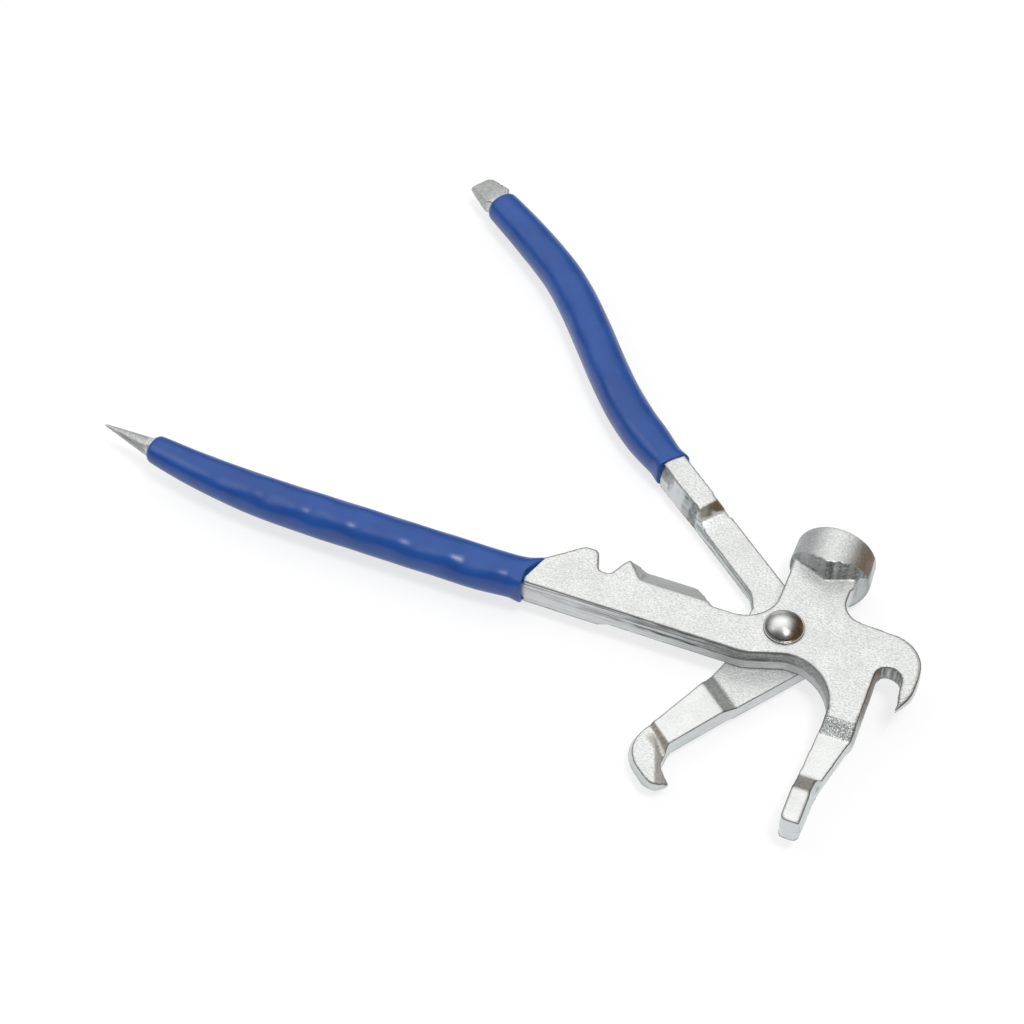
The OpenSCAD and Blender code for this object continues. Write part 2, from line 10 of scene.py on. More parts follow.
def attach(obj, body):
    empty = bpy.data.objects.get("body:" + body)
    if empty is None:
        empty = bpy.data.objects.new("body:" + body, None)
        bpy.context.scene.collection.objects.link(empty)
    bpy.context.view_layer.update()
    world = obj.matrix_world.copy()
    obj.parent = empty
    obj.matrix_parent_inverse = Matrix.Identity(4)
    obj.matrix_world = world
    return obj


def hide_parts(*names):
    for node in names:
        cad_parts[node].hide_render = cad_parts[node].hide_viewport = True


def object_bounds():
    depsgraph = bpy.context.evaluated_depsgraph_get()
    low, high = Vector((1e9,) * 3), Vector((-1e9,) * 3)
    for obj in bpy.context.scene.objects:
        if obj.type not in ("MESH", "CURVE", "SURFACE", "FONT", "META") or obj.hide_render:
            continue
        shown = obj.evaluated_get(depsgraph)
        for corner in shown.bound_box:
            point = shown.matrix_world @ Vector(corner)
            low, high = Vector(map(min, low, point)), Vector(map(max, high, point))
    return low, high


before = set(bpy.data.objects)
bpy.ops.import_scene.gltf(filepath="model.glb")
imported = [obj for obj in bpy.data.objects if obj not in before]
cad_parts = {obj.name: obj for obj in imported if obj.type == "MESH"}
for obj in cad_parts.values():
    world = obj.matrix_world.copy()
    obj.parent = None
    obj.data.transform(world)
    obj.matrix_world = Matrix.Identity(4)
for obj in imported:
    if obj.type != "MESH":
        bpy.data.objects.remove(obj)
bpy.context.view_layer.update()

MM = 0.001
# The hook lever and its grip are shaped with their handle along -x, and then turned open by this much
OPEN_TURN = math.radians(39.3)
# Upper face of the levers where they cross, in mm
JOINT_TOP = 14.0


# Masks and waves
def rise(value, low, high):
    """0 below low, 1 above high, and smooth between them."""
    f = np.clip((value - low) / (high - low), 0, 1)
    return f * f * (3 - 2 * f)


def fall(value, low, high):
    return 1 - rise(value, low, high)


def band(value, span, soft):
    """1 inside a span and 0 outside it, with edges that are soft on both sides."""
    low, high = span
    return rise(value, low - soft, low + soft) * fall(value, high - soft, high + soft)


def most(*masks):
    """The strongest of some masks on every point."""
    return np.maximum.reduce(np.broadcast_arrays(*masks))


def waves(co, size, seed, count=12):
    """Smooth random waves of about -1 to 1, size being their length in co's units."""
    rng = np.random.default_rng(seed)
    total = np.zeros(len(co))
    for _ in range(count):
        way = rng.normal(size=3)
        way /= np.linalg.norm(way)
        turn = rng.uniform(0, 2 * math.pi)
        total += np.sin(co @ way * (2 * math.pi / (size * rng.uniform(0.6, 1.5))) + turn)
    return total / count ** 0.5


def turned(co, angle):
    return co @ np.array(Matrix.Rotation(angle, 3, "Z")).T


# Meshes
def add_object(name, data):
    made = bpy.data.objects.new(name, data)
    bpy.context.scene.collection.objects.link(made)
    return made


def smooth_faces(mesh):
    mesh.polygons.foreach_set("use_smooth", np.ones(len(mesh.polygons), bool))
    mesh.update()


def points_of(mesh):
    co = np.zeros(len(mesh.vertices) * 3, np.float32)
    mesh.vertices.foreach_get("co", co)
    return co.reshape(-1, 3).astype(float)


def normals_of(mesh):
    mesh.update()
    no = np.zeros(len(mesh.vertices) * 3, np.float32)
    mesh.vertex_normals.foreach_get("vector", no)
    return no.reshape(-1, 3).astype(float)


def set_points(mesh, co):
    mesh.vertices.foreach_set("co", co.astype(np.float32).ravel())
    mesh.update()


def even_copy(node, name, voxel):
    """A copy of a CAD node with an even mesh, ready to be softened."""
    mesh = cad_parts[node].data.copy()
    bm = bmesh.new()
    bm.from_mesh(mesh)
    bmesh.ops.remove_doubles(bm, verts=bm.verts, dist=1e-6)
    bm.to_mesh(mesh)
    bm.free()
    mesh.materials.clear()
    piece = add_object(name, mesh)
    modifier = piece.modifiers.new("even", "REMESH")
    modifier.mode = "VOXEL"
    modifier.voxel_size = voxel
    graph = bpy.context.evaluated_depsgraph_get()
    even = bpy.data.meshes.new_from_object(piece.evaluated_get(graph))
    piece.modifiers.clear()
    piece.data = even
    return piece


def dress(piece, node, body, material):
    """Puts a finished piece in the place of its CAD node."""
    smooth_faces(piece.data)
    piece.data.materials.append(material)
    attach(piece, body)
    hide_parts(node)


class Links:
    """The edges of a mesh, for averaging values over neighbours."""

    def __init__(self, mesh):
        ends = np.zeros(len(mesh.edges) * 2, np.int32)
        mesh.edges.foreach_get("vertices", ends)
        self.a, self.b = ends.reshape(-1, 2).T.astype(np.int64)
        self.n = len(mesh.vertices)
        self.count = np.bincount(self.a, minlength=self.n) + np.bincount(self.b, minlength=self.n)

    def mean(self, values):
        columns = values.reshape(self.n, -1).T
        totals = [np.bincount(self.a, column[self.b], self.n) + np.bincount(self.b, column[self.a], self.n)
                  for column in columns]
        return (np.stack(totals, 1) / self.count[:, None]).reshape(values.shape)

    def soften(self, values, passes, weight=0.5):
        for _ in range(passes):
            values = values + weight * (self.mean(values) - values)
        return values


class Skin:
    """A lever's mesh as arrays, with the handle along -x.

    co holds the points in mm, as they are moved. The rest is from the last look: at holds x, y and z, which
    masks are worked out from, and no the normals; flat is their level part, and side and up are masks of the
    walls and the upper faces.
    """

    def __init__(self, node, name, voxel, turn=0.0):
        self.node = node
        self.turn = turn
        self.piece = even_copy(node, name, voxel)
        self.mesh = self.piece.data
        self.links = Links(self.mesh)
        set_points(self.mesh, self.links.soften(points_of(self.mesh), 4))
        self.co = turned(points_of(self.mesh) / MM, turn)
        self.look()

    def look(self):
        self.at = self.co.T.copy()
        self.no = turned(normals_of(self.mesh), self.turn)
        self.flat = np.hypot(self.no[:, 0], self.no[:, 1])
        self.side = rise(self.flat, 0.45, 0.75)
        self.up = rise(self.no[:, 2], 0.5, 0.9)

    def store(self):
        set_points(self.mesh, turned(self.co * MM, -self.turn))
        self.look()

    def push(self, distance):
        """Moves the points out along their normals."""
        self.co = self.co + self.no * distance[:, None]

    def bulge(self, passes):
        """How far a point stands out from its neighbours, in mm."""
        return self.links.soften(-((self.links.mean(self.co) - self.co) * self.no).sum(1), passes)

    def under_edge(self, passes, low, high):
        """A line on the walls just below the upper edge; more passes make it wider."""
        return self.side * rise(self.links.soften(rise(self.no[:, 2], 0.6, 0.8), passes), low, high)

    def paint(self, name, masks):
        """Stores four masks as a colour attribute."""
        attribute = self.mesh.color_attributes.new(name, "FLOAT_COLOR", "POINT")
        colours = np.clip(np.stack(masks, 1), 0, 1)
        attribute.data.foreach_set("color", colours.astype(np.float32).ravel())


# Materials
class Shade:
    """Short words for building one material's nodes."""

    def __init__(self, name):
        self.material = bpy.data.materials.new(name)
        self.material.use_nodes = True
        self.tree = self.material.node_tree
        self.bsdf = self.tree.nodes["Principled BSDF"]

    def set(self, **values):
        for key, value in values.items():
            self.bsdf.inputs[key.replace("_", " ")].default_value = value

    def node(self, kind, inputs=None, **settings):
        made = self.tree.nodes.new(kind)
        for key, value in settings.items():
            setattr(made, key, value)
        for key, value in (inputs or {}).items():
            self.put(made.inputs[key], value)
        return made

    def put(self, socket, value):
        if isinstance(value, bpy.types.NodeSocket):
            self.tree.links.new(value, socket)
        else:
            socket.default_value = value

    def link(self, socket, key):
        self.tree.links.new(socket, self.bsdf.inputs[key])

    def place(self):
        return self.node("ShaderNodeTexCoord").outputs["Object"]

    def noise(self, place, size, detail=2.0, rough=0.5, stretch=None, turn=0.0):
        if stretch:
            inputs = {"Vector": place, "Scale": stretch, "Rotation": (0, 0, turn)}
            place = self.node("ShaderNodeMapping", inputs, vector_type="TEXTURE").outputs[0]
        inputs = {"Vector": place, "Scale": 1 / size, "Detail": detail, "Roughness": rough}
        return self.node("ShaderNodeTexNoise", inputs).outputs[0]

    def radius(self, place, middle):
        """Distance from an upright axis through the point middle, given as (x, y) in mm."""
        foot = tuple(v * MM for v in middle) + (0,)
        away = self.node("ShaderNodeVectorMath", {0: place, 1: foot}, operation="SUBTRACT").outputs[0]
        flat = self.node("ShaderNodeVectorMath", {0: away, 1: (1, 1, 0)}, operation="MULTIPLY").outputs[0]
        return self.node("ShaderNodeVectorMath", {0: flat}, operation="LENGTH").outputs["Value"]

    def ramp(self, value, low, high, out_low=0.0, out_high=1.0):
        inputs = {0: value, 1: low, 2: high, 3: out_low, 4: out_high}
        return self.node("ShaderNodeMapRange", inputs, interpolation_type="SMOOTHSTEP").outputs[0]

    def math(self, kind, a, b=0.0):
        return self.node("ShaderNodeMath", {0: a, 1: b}, operation=kind).outputs[0]

    def mix(self, factor, a, b):
        made = self.node("ShaderNodeMix", data_type="RGBA")
        for index, value in ((0, factor), (6, a), (7, b)):
            self.put(made.inputs[index], value)
        return made.outputs[2]

    def bump(self, height, distance, strength=1.0, normal=None):
        inputs = {"Height": height, "Distance": distance, "Strength": strength}
        if normal is not None:
            inputs["Normal"] = normal
        return self.node("ShaderNodeBump", inputs).outputs[0]


LIGHT_STEEL = (0.72, 0.73, 0.725, 1)
PALE_STEEL = (0.78, 0.79, 0.785, 1)
GREY_STEEL = (0.40, 0.41, 0.40, 1)
# Mostly painted shade on walls, facets, ramps, hollows and creases; also pitting and lines along the walls
DARK_STEEL = (0.10, 0.112, 0.105, 1)
# Brown of ground lines, and of painted warm reflections and shade
BROWN_STEEL = (0.165, 0.115, 0.064, 1)
# Painted reflection: the cool tone of the walls
COOL_STEEL = (0.60, 0.64, 0.655, 1)
# Painted shade along the edges
BLACK_STEEL = (0.026, 0.028, 0.023, 1)
# Rivet colours: a painted highlight at the crown, painted shade at the rim and a painted warm reflection at
# its right
CROWN_COLOURS = (0.74, 0.74, 0.735, 1), (0.90, 0.90, 0.89, 1)
RIM_COLOURS = (0.11, 0.112, 0.108, 1), (0.17, 0.168, 0.16, 1)
BROWN_RIM = (0.20, 0.125, 0.062, 1)
FLANGE_COLOUR = (0.46, 0.455, 0.44, 1)
VINYL_COLOURS = (0.003, 0.048, 0.238, 1), (0.005, 0.062, 0.282, 1)

# Kinds of marks on a lever, four to a colour attribute: dark tones, mostly painted shade; brown tones, partly
# painted warm reflection; lines along the wall; black edges of painted shade; ground lines, pitting, places
# without orange peel, and a cool tone of painted reflection
MARKS_AND_SHADE = ("dark", "brown", "streak", "edge")
WEAR_AND_REFLECTION = ("ground", "rough", "bare", "cool")


def forged_steel(name, grind):
    """Satin plating on a forging: pale with an orange peel, grey-green where dies or shears left it rough and
    where shade is painted, brown where ground and where warm reflections are painted, cool on the walls as a
    painted reflection, with edges in painted shade.

    grind is the middle of its ground lines, in mm.
    """
    s = Shade(name)
    place = s.place()
    s.set(Metallic=0.6)
    marks_and_shade = s.node("ShaderNodeAttribute", attribute_name="marks_and_shade")
    dark, brown, streak = s.node("ShaderNodeSeparateColor", {0: marks_and_shade.outputs["Color"]}).outputs
    edge = marks_and_shade.outputs["Alpha"]
    wear_and_reflection = s.node("ShaderNodeAttribute", attribute_name="wear_and_reflection")
    ground, rough, bare = s.node("ShaderNodeSeparateColor", {0: wear_and_reflection.outputs["Color"]}).outputs
    cool = wear_and_reflection.outputs["Alpha"]

    cloud = s.noise(place, 8 * MM, 3)
    grain = s.noise(place, 0.42 * MM, 2, 0.6, stretch=(1.5, 1, 1), turn=0.38)
    peel = s.noise(place, 0.7 * MM, 2, 0.5)
    mottle = s.noise(place, 0.8 * MM, 3, 0.6)
    fine = s.noise(place, 0.42 * MM, 2, 0.6)
    lines = s.noise(place, 0.36 * MM, 2, 0.6, stretch=(60, 16, 1.35))
    ring = {"W": s.radius(place, grind), "Scale": 2200, "Detail": 1}
    rings = s.node("ShaderNodeTexNoise", ring, noise_dimensions="1D").outputs[0]

    colour = s.mix(s.ramp(cloud, 0.35, 0.65), LIGHT_STEEL, PALE_STEEL)
    speckle = s.math("MULTIPLY", s.ramp(grain, 0.38, 0.66, 0, 0.52), s.math("SUBTRACT", 1.0, bare))
    colour = s.mix(speckle, colour, GREY_STEEL)
    # Painted reflection: the walls' cool tone
    colour = s.mix(cool, colour, COOL_STEEL)
    # Grey-green: the dark mask, mostly painted shade, and the pitting and the lines along the walls
    patch = s.math("MULTIPLY", dark, s.ramp(mottle, 0.34, 0.62, 0.75, 1.12))
    ruled = s.math("MULTIPLY", streak, s.ramp(lines, 0.47, 0.58))
    pocked = s.math("MULTIPLY", rough, s.ramp(fine, 0.40, 0.56))
    darkness = s.math("MAXIMUM", s.math("MAXIMUM", patch, ruled), pocked)
    colour = s.mix(s.math("MINIMUM", darkness, 1.0), colour, DARK_STEEL)
    # Brown: ground lines, and the brown mask, partly painted warm reflection and shade
    scored = s.math("MULTIPLY", ground, s.ramp(rings, 0.46, 0.6, 0.15, 0.9))
    toned = s.math("MAXIMUM", s.math("MULTIPLY", brown, s.ramp(mottle, 0.3, 0.6, 0.85, 1)), scored)
    colour = s.mix(toned, colour, BROWN_STEEL)
    # Painted shade: black lines along the edges
    s.link(s.mix(edge, colour, BLACK_STEEL), "Base Color")

    rub = s.ramp(s.noise(place, 2.2 * MM, 3), 0.3, 0.7, 0.36, 0.46)
    s.link(s.math("ADD", rub, s.math("MULTIPLY", darkness, 0.12)), "Roughness")

    normal = s.bump(s.math("MULTIPLY", peel, s.math("SUBTRACT", 1.0, bare)), 0.13 * MM)
    normal = s.bump(s.math("MULTIPLY", fine, rough), 0.22 * MM, 0.8, normal)
    normal = s.bump(s.math("MULTIPLY", lines, streak), 0.10 * MM, 0.9, normal)
    s.link(normal, "Normal")
    return s.material


def polished_steel_painted_light(name):
    """A painted highlight at the crown of the head, painted shade towards its rim, a brownish painted warm
    reflection at the right, and a bright flange that the rim's shade leaves out.
    """
    s = Shade(name)
    place = s.place()
    s.set(Metallic=1.0)
    tone = s.noise(place, 2.5 * MM, 3)
    # Painted highlight colours for the crown, painted shade colours for the rim
    crown = s.mix(s.ramp(tone, 0.35, 0.7), *CROWN_COLOURS)
    rim = s.mix(s.ramp(tone, 0.4, 0.6), *RIM_COLOURS)
    across = s.node("ShaderNodeSeparateXYZ", {0: place}).outputs[0]
    wavering = s.math("ADD", across, s.math("MULTIPLY", tone, 3 * MM))
    # Painted warm reflection: brown towards the right of the rim
    rim = s.mix(s.ramp(wavering, 3.2 * MM, 5.6 * MM), rim, BROWN_RIM)
    # The painted highlight lies off the middle, towards the upper left as the camera sees it
    highlight_falloff = s.ramp(s.radius(place, (-1.3, 1.3)), 1.0 * MM, 5.6 * MM)
    off_highlight = s.math("ADD", highlight_falloff, s.math("MULTIPLY", s.math("SUBTRACT", tone, 0.5), 0.6))
    colour = s.mix(s.math("MINIMUM", s.math("MAXIMUM", off_highlight, 0.0), 1.0), crown, rim)
    flange = s.node("ShaderNodeAttribute", attribute_name="flange").outputs["Fac"]
    s.link(s.mix(flange, colour, FLANGE_COLOUR), "Base Color")
    s.link(s.ramp(s.noise(place, 1.2 * MM, 3), 0.3, 0.7, 0.26, 0.36), "Roughness")
    normal = s.bump(s.noise(place, 1.6 * MM, 2), 0.05 * MM, 0.7)
    s.link(s.bump(s.noise(place, 0.35 * MM, 2), 0.012 * MM, 0.6, normal), "Normal")
    return s.material


def dipped_vinyl(name):
    """Glossy dip coat: deep blue, faintly uneven."""
    s = Shade(name)
    place = s.place()
    s.set(Metallic=0.0, IOR=1.48, Specular_IOR_Level=0.52)
    s.link(s.mix(s.ramp(s.noise(place, 12 * MM, 3), 0.3, 0.7), *VINYL_COLOURS), "Base Color")
    s.link(s.ramp(s.noise(place, 4 * MM, 3), 0.3, 0.7, 0.28, 0.34), "Roughness")
    s.link(s.bump(s.noise(place, 6 * MM, 1), 0.06 * MM, 0.5), "Normal")
    return s.material


# Both levers
def forge_walls(skin, wall, part_z, draft, bead, unevenness, size, seed):
    """Leans the walls in by draft per mm, away from the parting line's bead, and makes them uneven."""
    z = skin.at[2]
    line = band(z, (part_z - bead, part_z + bead), 0.15)
    inward = wall * np.clip(draft * np.abs(z - part_z) - 0.05 * line + 0.05, 0, 0.3)
    inward += 0.02 * (1 + waves(skin.co, size, seed))
    inward += wall * unevenness * (1 + waves(skin.co, 4, seed + 1))
    skin.push(-inward)


def edge_shade(skin):
    """Painted shade along sharp outer edges: a dark line that also dims their highlights."""
    return 0.52 * rise(skin.bulge(2), 0.012, 0.045)


def finish_lever(skin, body, zones, grind, left_plain=0.0):
    """Paints each mark as its strongest zone has it; where the last argument is 1, the tones and edges,
    painted shade among them, are left out.
    """
    none = np.zeros(len(skin.co))
    marks_and_shade = {kind: most(none, *[zone[kind] for zone in zones if kind in zone]) for kind in MARKS_AND_SHADE + WEAR_AND_REFLECTION}
    for kind in ("dark", "brown", "edge"):
        marks_and_shade[kind] = marks_and_shade[kind] * (1 - left_plain)
    skin.paint("marks_and_shade", [marks_and_shade[kind] for kind in MARKS_AND_SHADE])
    skin.paint("wear_and_reflection", [marks_and_shade[kind] for kind in WEAR_AND_REFLECTION])
    dress(skin.piece, skin.node, body, forged_steel(skin.piece.name + "_plating", grind))


# Places on the hammer lever, in mm: x runs from the spike to the claw, y from the jaw to the striking face
SHANK_PART_Z = 9.8
SHANK_X = (4, 8)
SHANK_Y = (-42, -38)
DRUM_PART_Z = 13.8
DRUM_Y = (19.5, 21.5)
DRUM_FACE_Y = (26, 33)
BACK_Y = (20, 28.5)
TOOTH = (-48.5, 7.2)
BLADE_X, BLADE_Y = (-47, -20.5), (1.2, 10.8)
HOLLOW_X, HOLLOW_Y = (4, 20.5), (-24, -5)
JAW_STEP_X, JAW_STEP_Y = (17, 29.5), (-27.8, -19.4)
JAW_GROUND_Y = (-28, -27)
PAD_RAMP_X, PAD_RAMP_Y = (16, 26), (-48.6, -42.0)
PAD_RIGHT_X, PAD_Y, PAD_LENGTH = (19.5, 22.5), -41.5, 8.5
LEDGE_X, LEDGE_Y, LEDGE_TOP = 22, (-48.5, -40.5), 11
SLOT_X, SLOT_Y = (27, 36.5), (-16, 3)
SLOT_END_X = (28.6, 35.2)
SLOT_WALL_X, SLOT_WALL_Y = (26.5, 30.5), (-27.5, -0.5)
CLAW_X = (33, 34)
CLAW_HOLLOW_Y = -9.0
CLAW_TIP_Y = (-15.5, -11)
CLAW_GRIND = (28.9, -1.0)
SPIKE_X = (-197, -195.5)

# How far the dressed hammer lever departs from its solid, in mm
DRUM_STEP = 0.5
TOOTH_CUT = 0.55
PAD_EXTRA = 0.8
FLUTE_DEPTH = 0.17
CLAW_HOLLOW = 0.75
CLAW_LEAN = 0.45
SLOT_FOOT = 0.5


def shape_drum(skin, wall, drum):
    """The drum's lower half stands out at its right, less so at its face."""
    y, z = skin.at[1:]
    lower = fall(z, DRUM_PART_Z - 0.2, DRUM_PART_Z + 0.1)
    right = rise(skin.no[:, 0], 0.4, 0.7)
    skin.push(DRUM_STEP * drum * wall * lower * right * (1 - 0.85 * rise(y, *DRUM_FACE_Y)))


def shape_back(skin):
    """The hammer's sloping back has an uneven upper edge."""
    y, z = skin.at[1:]
    ny, nz = skin.no.T[1:]
    back = band(y, BACK_Y, 0.6) * rise(-ny, 0.12, 0.35) * fall(nz, 0.86, 0.95)
    back = back * rise(z, JOINT_TOP - 0.1, JOINT_TOP + 0.3)
    edge = 0.42 * waves(skin.co * (1, 0.2, 0.2), 3.4, 5) * rise(z, 16.5, 20.5)
    skin.co[:, 1] += back * (edge + 0.07 * waves(skin.co, 2.6, 6))
    return back


def shape_jaw(skin):
    """The step on the jaw is rough, and the pad is wider at its right."""
    x, y, z = skin.at
    jaw_step = band(y, JAW_STEP_Y, 0.4) * band(x, JAW_STEP_X, 0.5) * rise(skin.flat, 0.03, 0.1)
    jaw_step = jaw_step * rise(skin.no[:, 2], 0.2, 0.5)
    skin.co[:, 2] -= jaw_step * (0.03 + 0.03 * waves(skin.co, 0.9, 7))
    pad = np.clip((PAD_Y - y) / PAD_LENGTH, 0, 1) * rise(x, *PAD_RIGHT_X)
    skin.co[:, 0] += PAD_EXTRA * pad * rise(z, 4.5, 11.5)
    return jaw_step


def shape_tooth(skin):
    """The tooth beside the trimming notch is rounded."""
    x, y = skin.at[:2]
    skin.co[:, 1] -= TOOTH_CUT * np.exp(-((x - TOOTH[0]) ** 2 + (y - TOOTH[1]) ** 2) / 1.3)


def shape_claw(skin, wall):
    """The slot's end is fluted and its side wider at its foot; the claw is hollow inside and leans in.

    Returns the painted shade in the flutes.
    """
    x, y, z = skin.at
    nx, ny = skin.no.T[:2]
    slot_end = wall * band(x, SLOT_END_X, 0.4) * rise(y, -6.0, -4.4) * fall(y, 1, 2) * rise(-ny, 0.2, 0.5)
    flutes = np.sin(x * 5.0 + 1.4 * np.sin(x * 1.3))
    skin.co[:, 1] += slot_end * FLUTE_DEPTH * flutes
    inside = wall * rise(-nx, 0.2, 0.6) * rise(x, *CLAW_X) * np.exp(-((y - CLAW_HOLLOW_Y) / 3.2) ** 2)
    skin.co[:, 0] += CLAW_HOLLOW * skin.links.soften(inside, 6)
    skin.co[:, 0] -= CLAW_LEAN * fall(y, *CLAW_TIP_Y) * rise(x, 33, 35)
    slot_side = wall * rise(nx, 0.4, 0.8) * band(x, (26.0, 30.5), 0.3) * band(y, (-28, -2.5), 1.5)
    skin.co[:, 0] += SLOT_FOOT * slot_side * fall(z, 8.5, 13)
    return slot_end * (0.42 + 0.34 * flutes)


def shape_spike(skin):
    """The spike, which the softening left a little short, is drawn out again."""
    x = skin.at[0]
    spike = fall(x, *SPIKE_X)
    skin.co[:, 0] -= spike * 0.055 * (-195 - x)
    return spike


def above_parting(z):
    return rise(z, SHANK_PART_Z - 0.15, SHANK_PART_Z + 0.25)


def mark_shank(skin, drum):
    """The shank's front wall: lines along it, and dark lines on its parting line, above it and under its
    edge; its dark tone, deeper towards the pivot and above the parting line, is painted shade, and its cool
    tone a painted reflection.
    """
    x, y, z = skin.at
    front = skin.side * rise(-skin.no[:, 1], 0.3, 0.7) * (1 - drum) * rise(y, *SHANK_Y)
    upper = above_parting(z)
    shank = front * fall(x, *SHANK_X)
    throat = rise(x, -62, -10)
    near = rise(x, -40, -6)
    wander = 0.3 * waves(skin.co * (1, 0.3, 0), 16, 9)
    part_line = band(z + 0.6 * wander, (SHANK_PART_Z - 0.35, SHANK_PART_Z + 0.45), 0.2)
    middle_line = np.exp(-((z - 11.9 - wander) / 0.26) ** 2)
    top_line = band(z + 0.5 * wander, (13.05, 14.3), 0.2)
    dark_lines = most(0.75 * part_line * (0.2 + 0.8 * rise(x, -60, -44)),
                 0.45 * middle_line * rise(x, -66, -44),
                 0.62 * top_line * rise(x, -66, -50))
    return {"dark": shank * (0.05 + 0.26 * near + upper * (0.06 + 0.10 * throat + 0.20 * near)),
            "streak": shank * (0.25 + 0.45 * upper + 0.25 * throat),
            "edge": shank * dark_lines * (0.7 + 0.3 * waves(skin.co * (1, 0.3, 0.5), 5, 10)),
            "cool": 0.5 * front}


def mark_hollow(skin):
    """The wall of the hollow between shank and jaw, darkened by painted shade, more so above the parting
    line.
    """
    x, y, z = skin.at
    upper = above_parting(z)
    hollow = skin.side * band(x, HOLLOW_X, 1) * band(y, HOLLOW_Y, 1)
    return {"dark": hollow * (0.38 + 0.3 * upper), "streak": 0.6 * hollow * upper}


def mark_blade(skin):
    """The ground bevel of the trimming blade, darkened by a painted reflection of dark surroundings."""
    x, y = skin.at[:2]
    bevel = band(x, BLADE_X, 0.4) * band(y, BLADE_Y, 0.2) * band(skin.no[:, 2], (0.35, 0.93), 0.05)
    return {"dark": 0.45 * bevel}


def mark_jaw(skin, jaw_step):
    """The rough step, and the ramp to the pad in a dark and brown painted reflection of dark surroundings;
    beyond the step the jaw is ground bare.
    """
    x, y = skin.at[:2]
    ramp = band(y, PAD_RAMP_Y, 0.3) * band(x, PAD_RAMP_X, 0.5) * band(skin.no[:, 2], (0.4, 0.96), 0.05)
    ramp = ramp * fall(skin.no[:, 0], 0.35, 0.6)
    return {"dark": most(0.58 * ramp, 0.36 * jaw_step), "brown": 0.35 * ramp, "rough": 0.8 * jaw_step,
            "bare": 0.6 * fall(y, *JAW_GROUND_Y)}


def mark_back(skin, back):
    """The hammer's back in painted shade: a grey facet at its left, a darker one at its right, and a darker
    crease at its foot.
    """
    x, y, z = skin.at
    right = rise(x, 5.0, 5.5)
    facet = 0.54 + 0.24 * right + 0.10 * waves(skin.co * (1, 0.1, 0.1), 5, 8)
    facet = facet + 0.09 * right * waves(skin.co * (1, 0.05, 0.05), 1.5, 31)
    crease = rise(-skin.bulge(1), 0.01, 0.03) * band(y, (18, 29), 0.5) * band(z, (13.7, 15.2), 0.2)
    return {"dark": most(back * facet, 0.75 * crease)}


def mark_drum(skin, drum, back):
    """The drum in painted light: painted shade at its left and lower down, dark and brown painted warm
    reflection above the parting line at its right, and a cool painted reflection below it.
    """
    z = skin.at[2]
    nx = skin.no[:, 0]
    left = 0.46 * rise(-nx, -0.1, 0.7) + 0.14 * fall(z, 13.2, 13.9)
    right = 0.66 * rise(nx, 0.3, 0.8) * rise(z, 13.7, 13.9)
    part_line = band(z, (DRUM_PART_Z - 0.15, DRUM_PART_Z + 0.25), 0.1) * rise(nx, 0.5, 0.8)
    brown = rise(nx, 0.35, 0.82) * rise(z, DRUM_PART_Z - 0.1, DRUM_PART_Z + 0.1)
    return {"dark": drum * most(left * (1 - back), right * (1 - back), 0.6 * part_line),
            "brown": 0.95 * drum * brown * (1 - back),
            "cool": drum * most(0.75 * skin.side * fall(z, 13.5, 14.0), 0.6 * rise(-nx, 0.2, 0.7))}


def mark_claw(skin, drum, flutes):
    """The slot and its fluted end in painted shade, the slot's wall with painted shade and a brown edge of
    painted warm reflection, ground lines on the claw's rim, and a cool painted reflection on the walls.
    """
    x, y, z = skin.at
    nx, ny, nz = skin.no.T
    slot = skin.side * band(x, SLOT_X, 0.5) * band(y, SLOT_Y, 0.6) * rise(0.6 * ny - nx + 0.3, -0.3, 0.3)
    wall = skin.side * rise(nx, 0.4, 0.8) * band(x, SLOT_WALL_X, 0.3) * band(y, SLOT_WALL_Y, 1)
    inward = rise(y, -21, -16)
    shaded = wall * (0.3 + 0.4 * inward) * rise(rise(z, 8, 11) + inward, 0.2, 0.5)
    away = np.hypot(x - CLAW_GRIND[0], y - CLAW_GRIND[1])
    rim = skin.links.soften(skin.side, 14) * skin.up * rise(x, 28, 35) * rise(y, -15, -9) * fall(y, 9, 12)
    rim = rim * rise(away, 5, 9)
    return {"dark": most(0.5 * slot, flutes, shaded),
            "brown": 0.85 * wall * rise(z, 9.5, 12.0) * rise(y, -24, -18),
            "ground": 0.8 * rise(rim, 0.02, 0.3) * rise(nz, 0.2, 0.6),
            "cool": 0.75 * skin.side * rise(x, 16, 20) * (1 - drum) * (1 - 0.4 * slot)}


def mark_hammer_edges(skin, drum, spike):
    """Painted shade in dark lines along and under the edges, and painted warm reflection in brown ones on the
    jaw's right and below the drum.
    """
    x, y = skin.at[:2]
    rim = skin.links.soften(skin.side, 4) * skin.up
    right_line = skin.under_edge(9, 0.03, 0.2) * rise(skin.no[:, 0], 0.3, 0.8)
    return {"dark": most(0.62 * skin.under_edge(4, 0.06, 0.3) * (1 - drum) * (1 - spike),
                         0.2 * rise(rim, 0.12, 0.4) * (1 - drum)),
            "brown": most(0.9 * right_line * band(y, (-50, -2), 1) * rise(x, 18, 22),
                          0.6 * right_line * band(y, (9, 21), 1) * band(x, (10, 24), 1)),
            "edge": edge_shade(skin) * (1 - spike) * (1 - 0.6 * drum)}


def mark_hammer_walls(skin, drum, back):
    """The walls have no orange peel, apart from the hammer's back and the drum's upper half."""
    return {"bare": 0.75 * skin.side * (1 - back) * (1 - drum * above_parting(skin.at[2]))}


def mark_spike(skin, spike):
    # The spike is darker, and darker still underneath, where it is painted shade
    under = rise(-skin.no[:, 2], 0.0, 0.5)
    return {"dark": (0.5 + 0.2 * under) * spike, "streak": 0.25 * spike, "bare": 0.9 * spike}


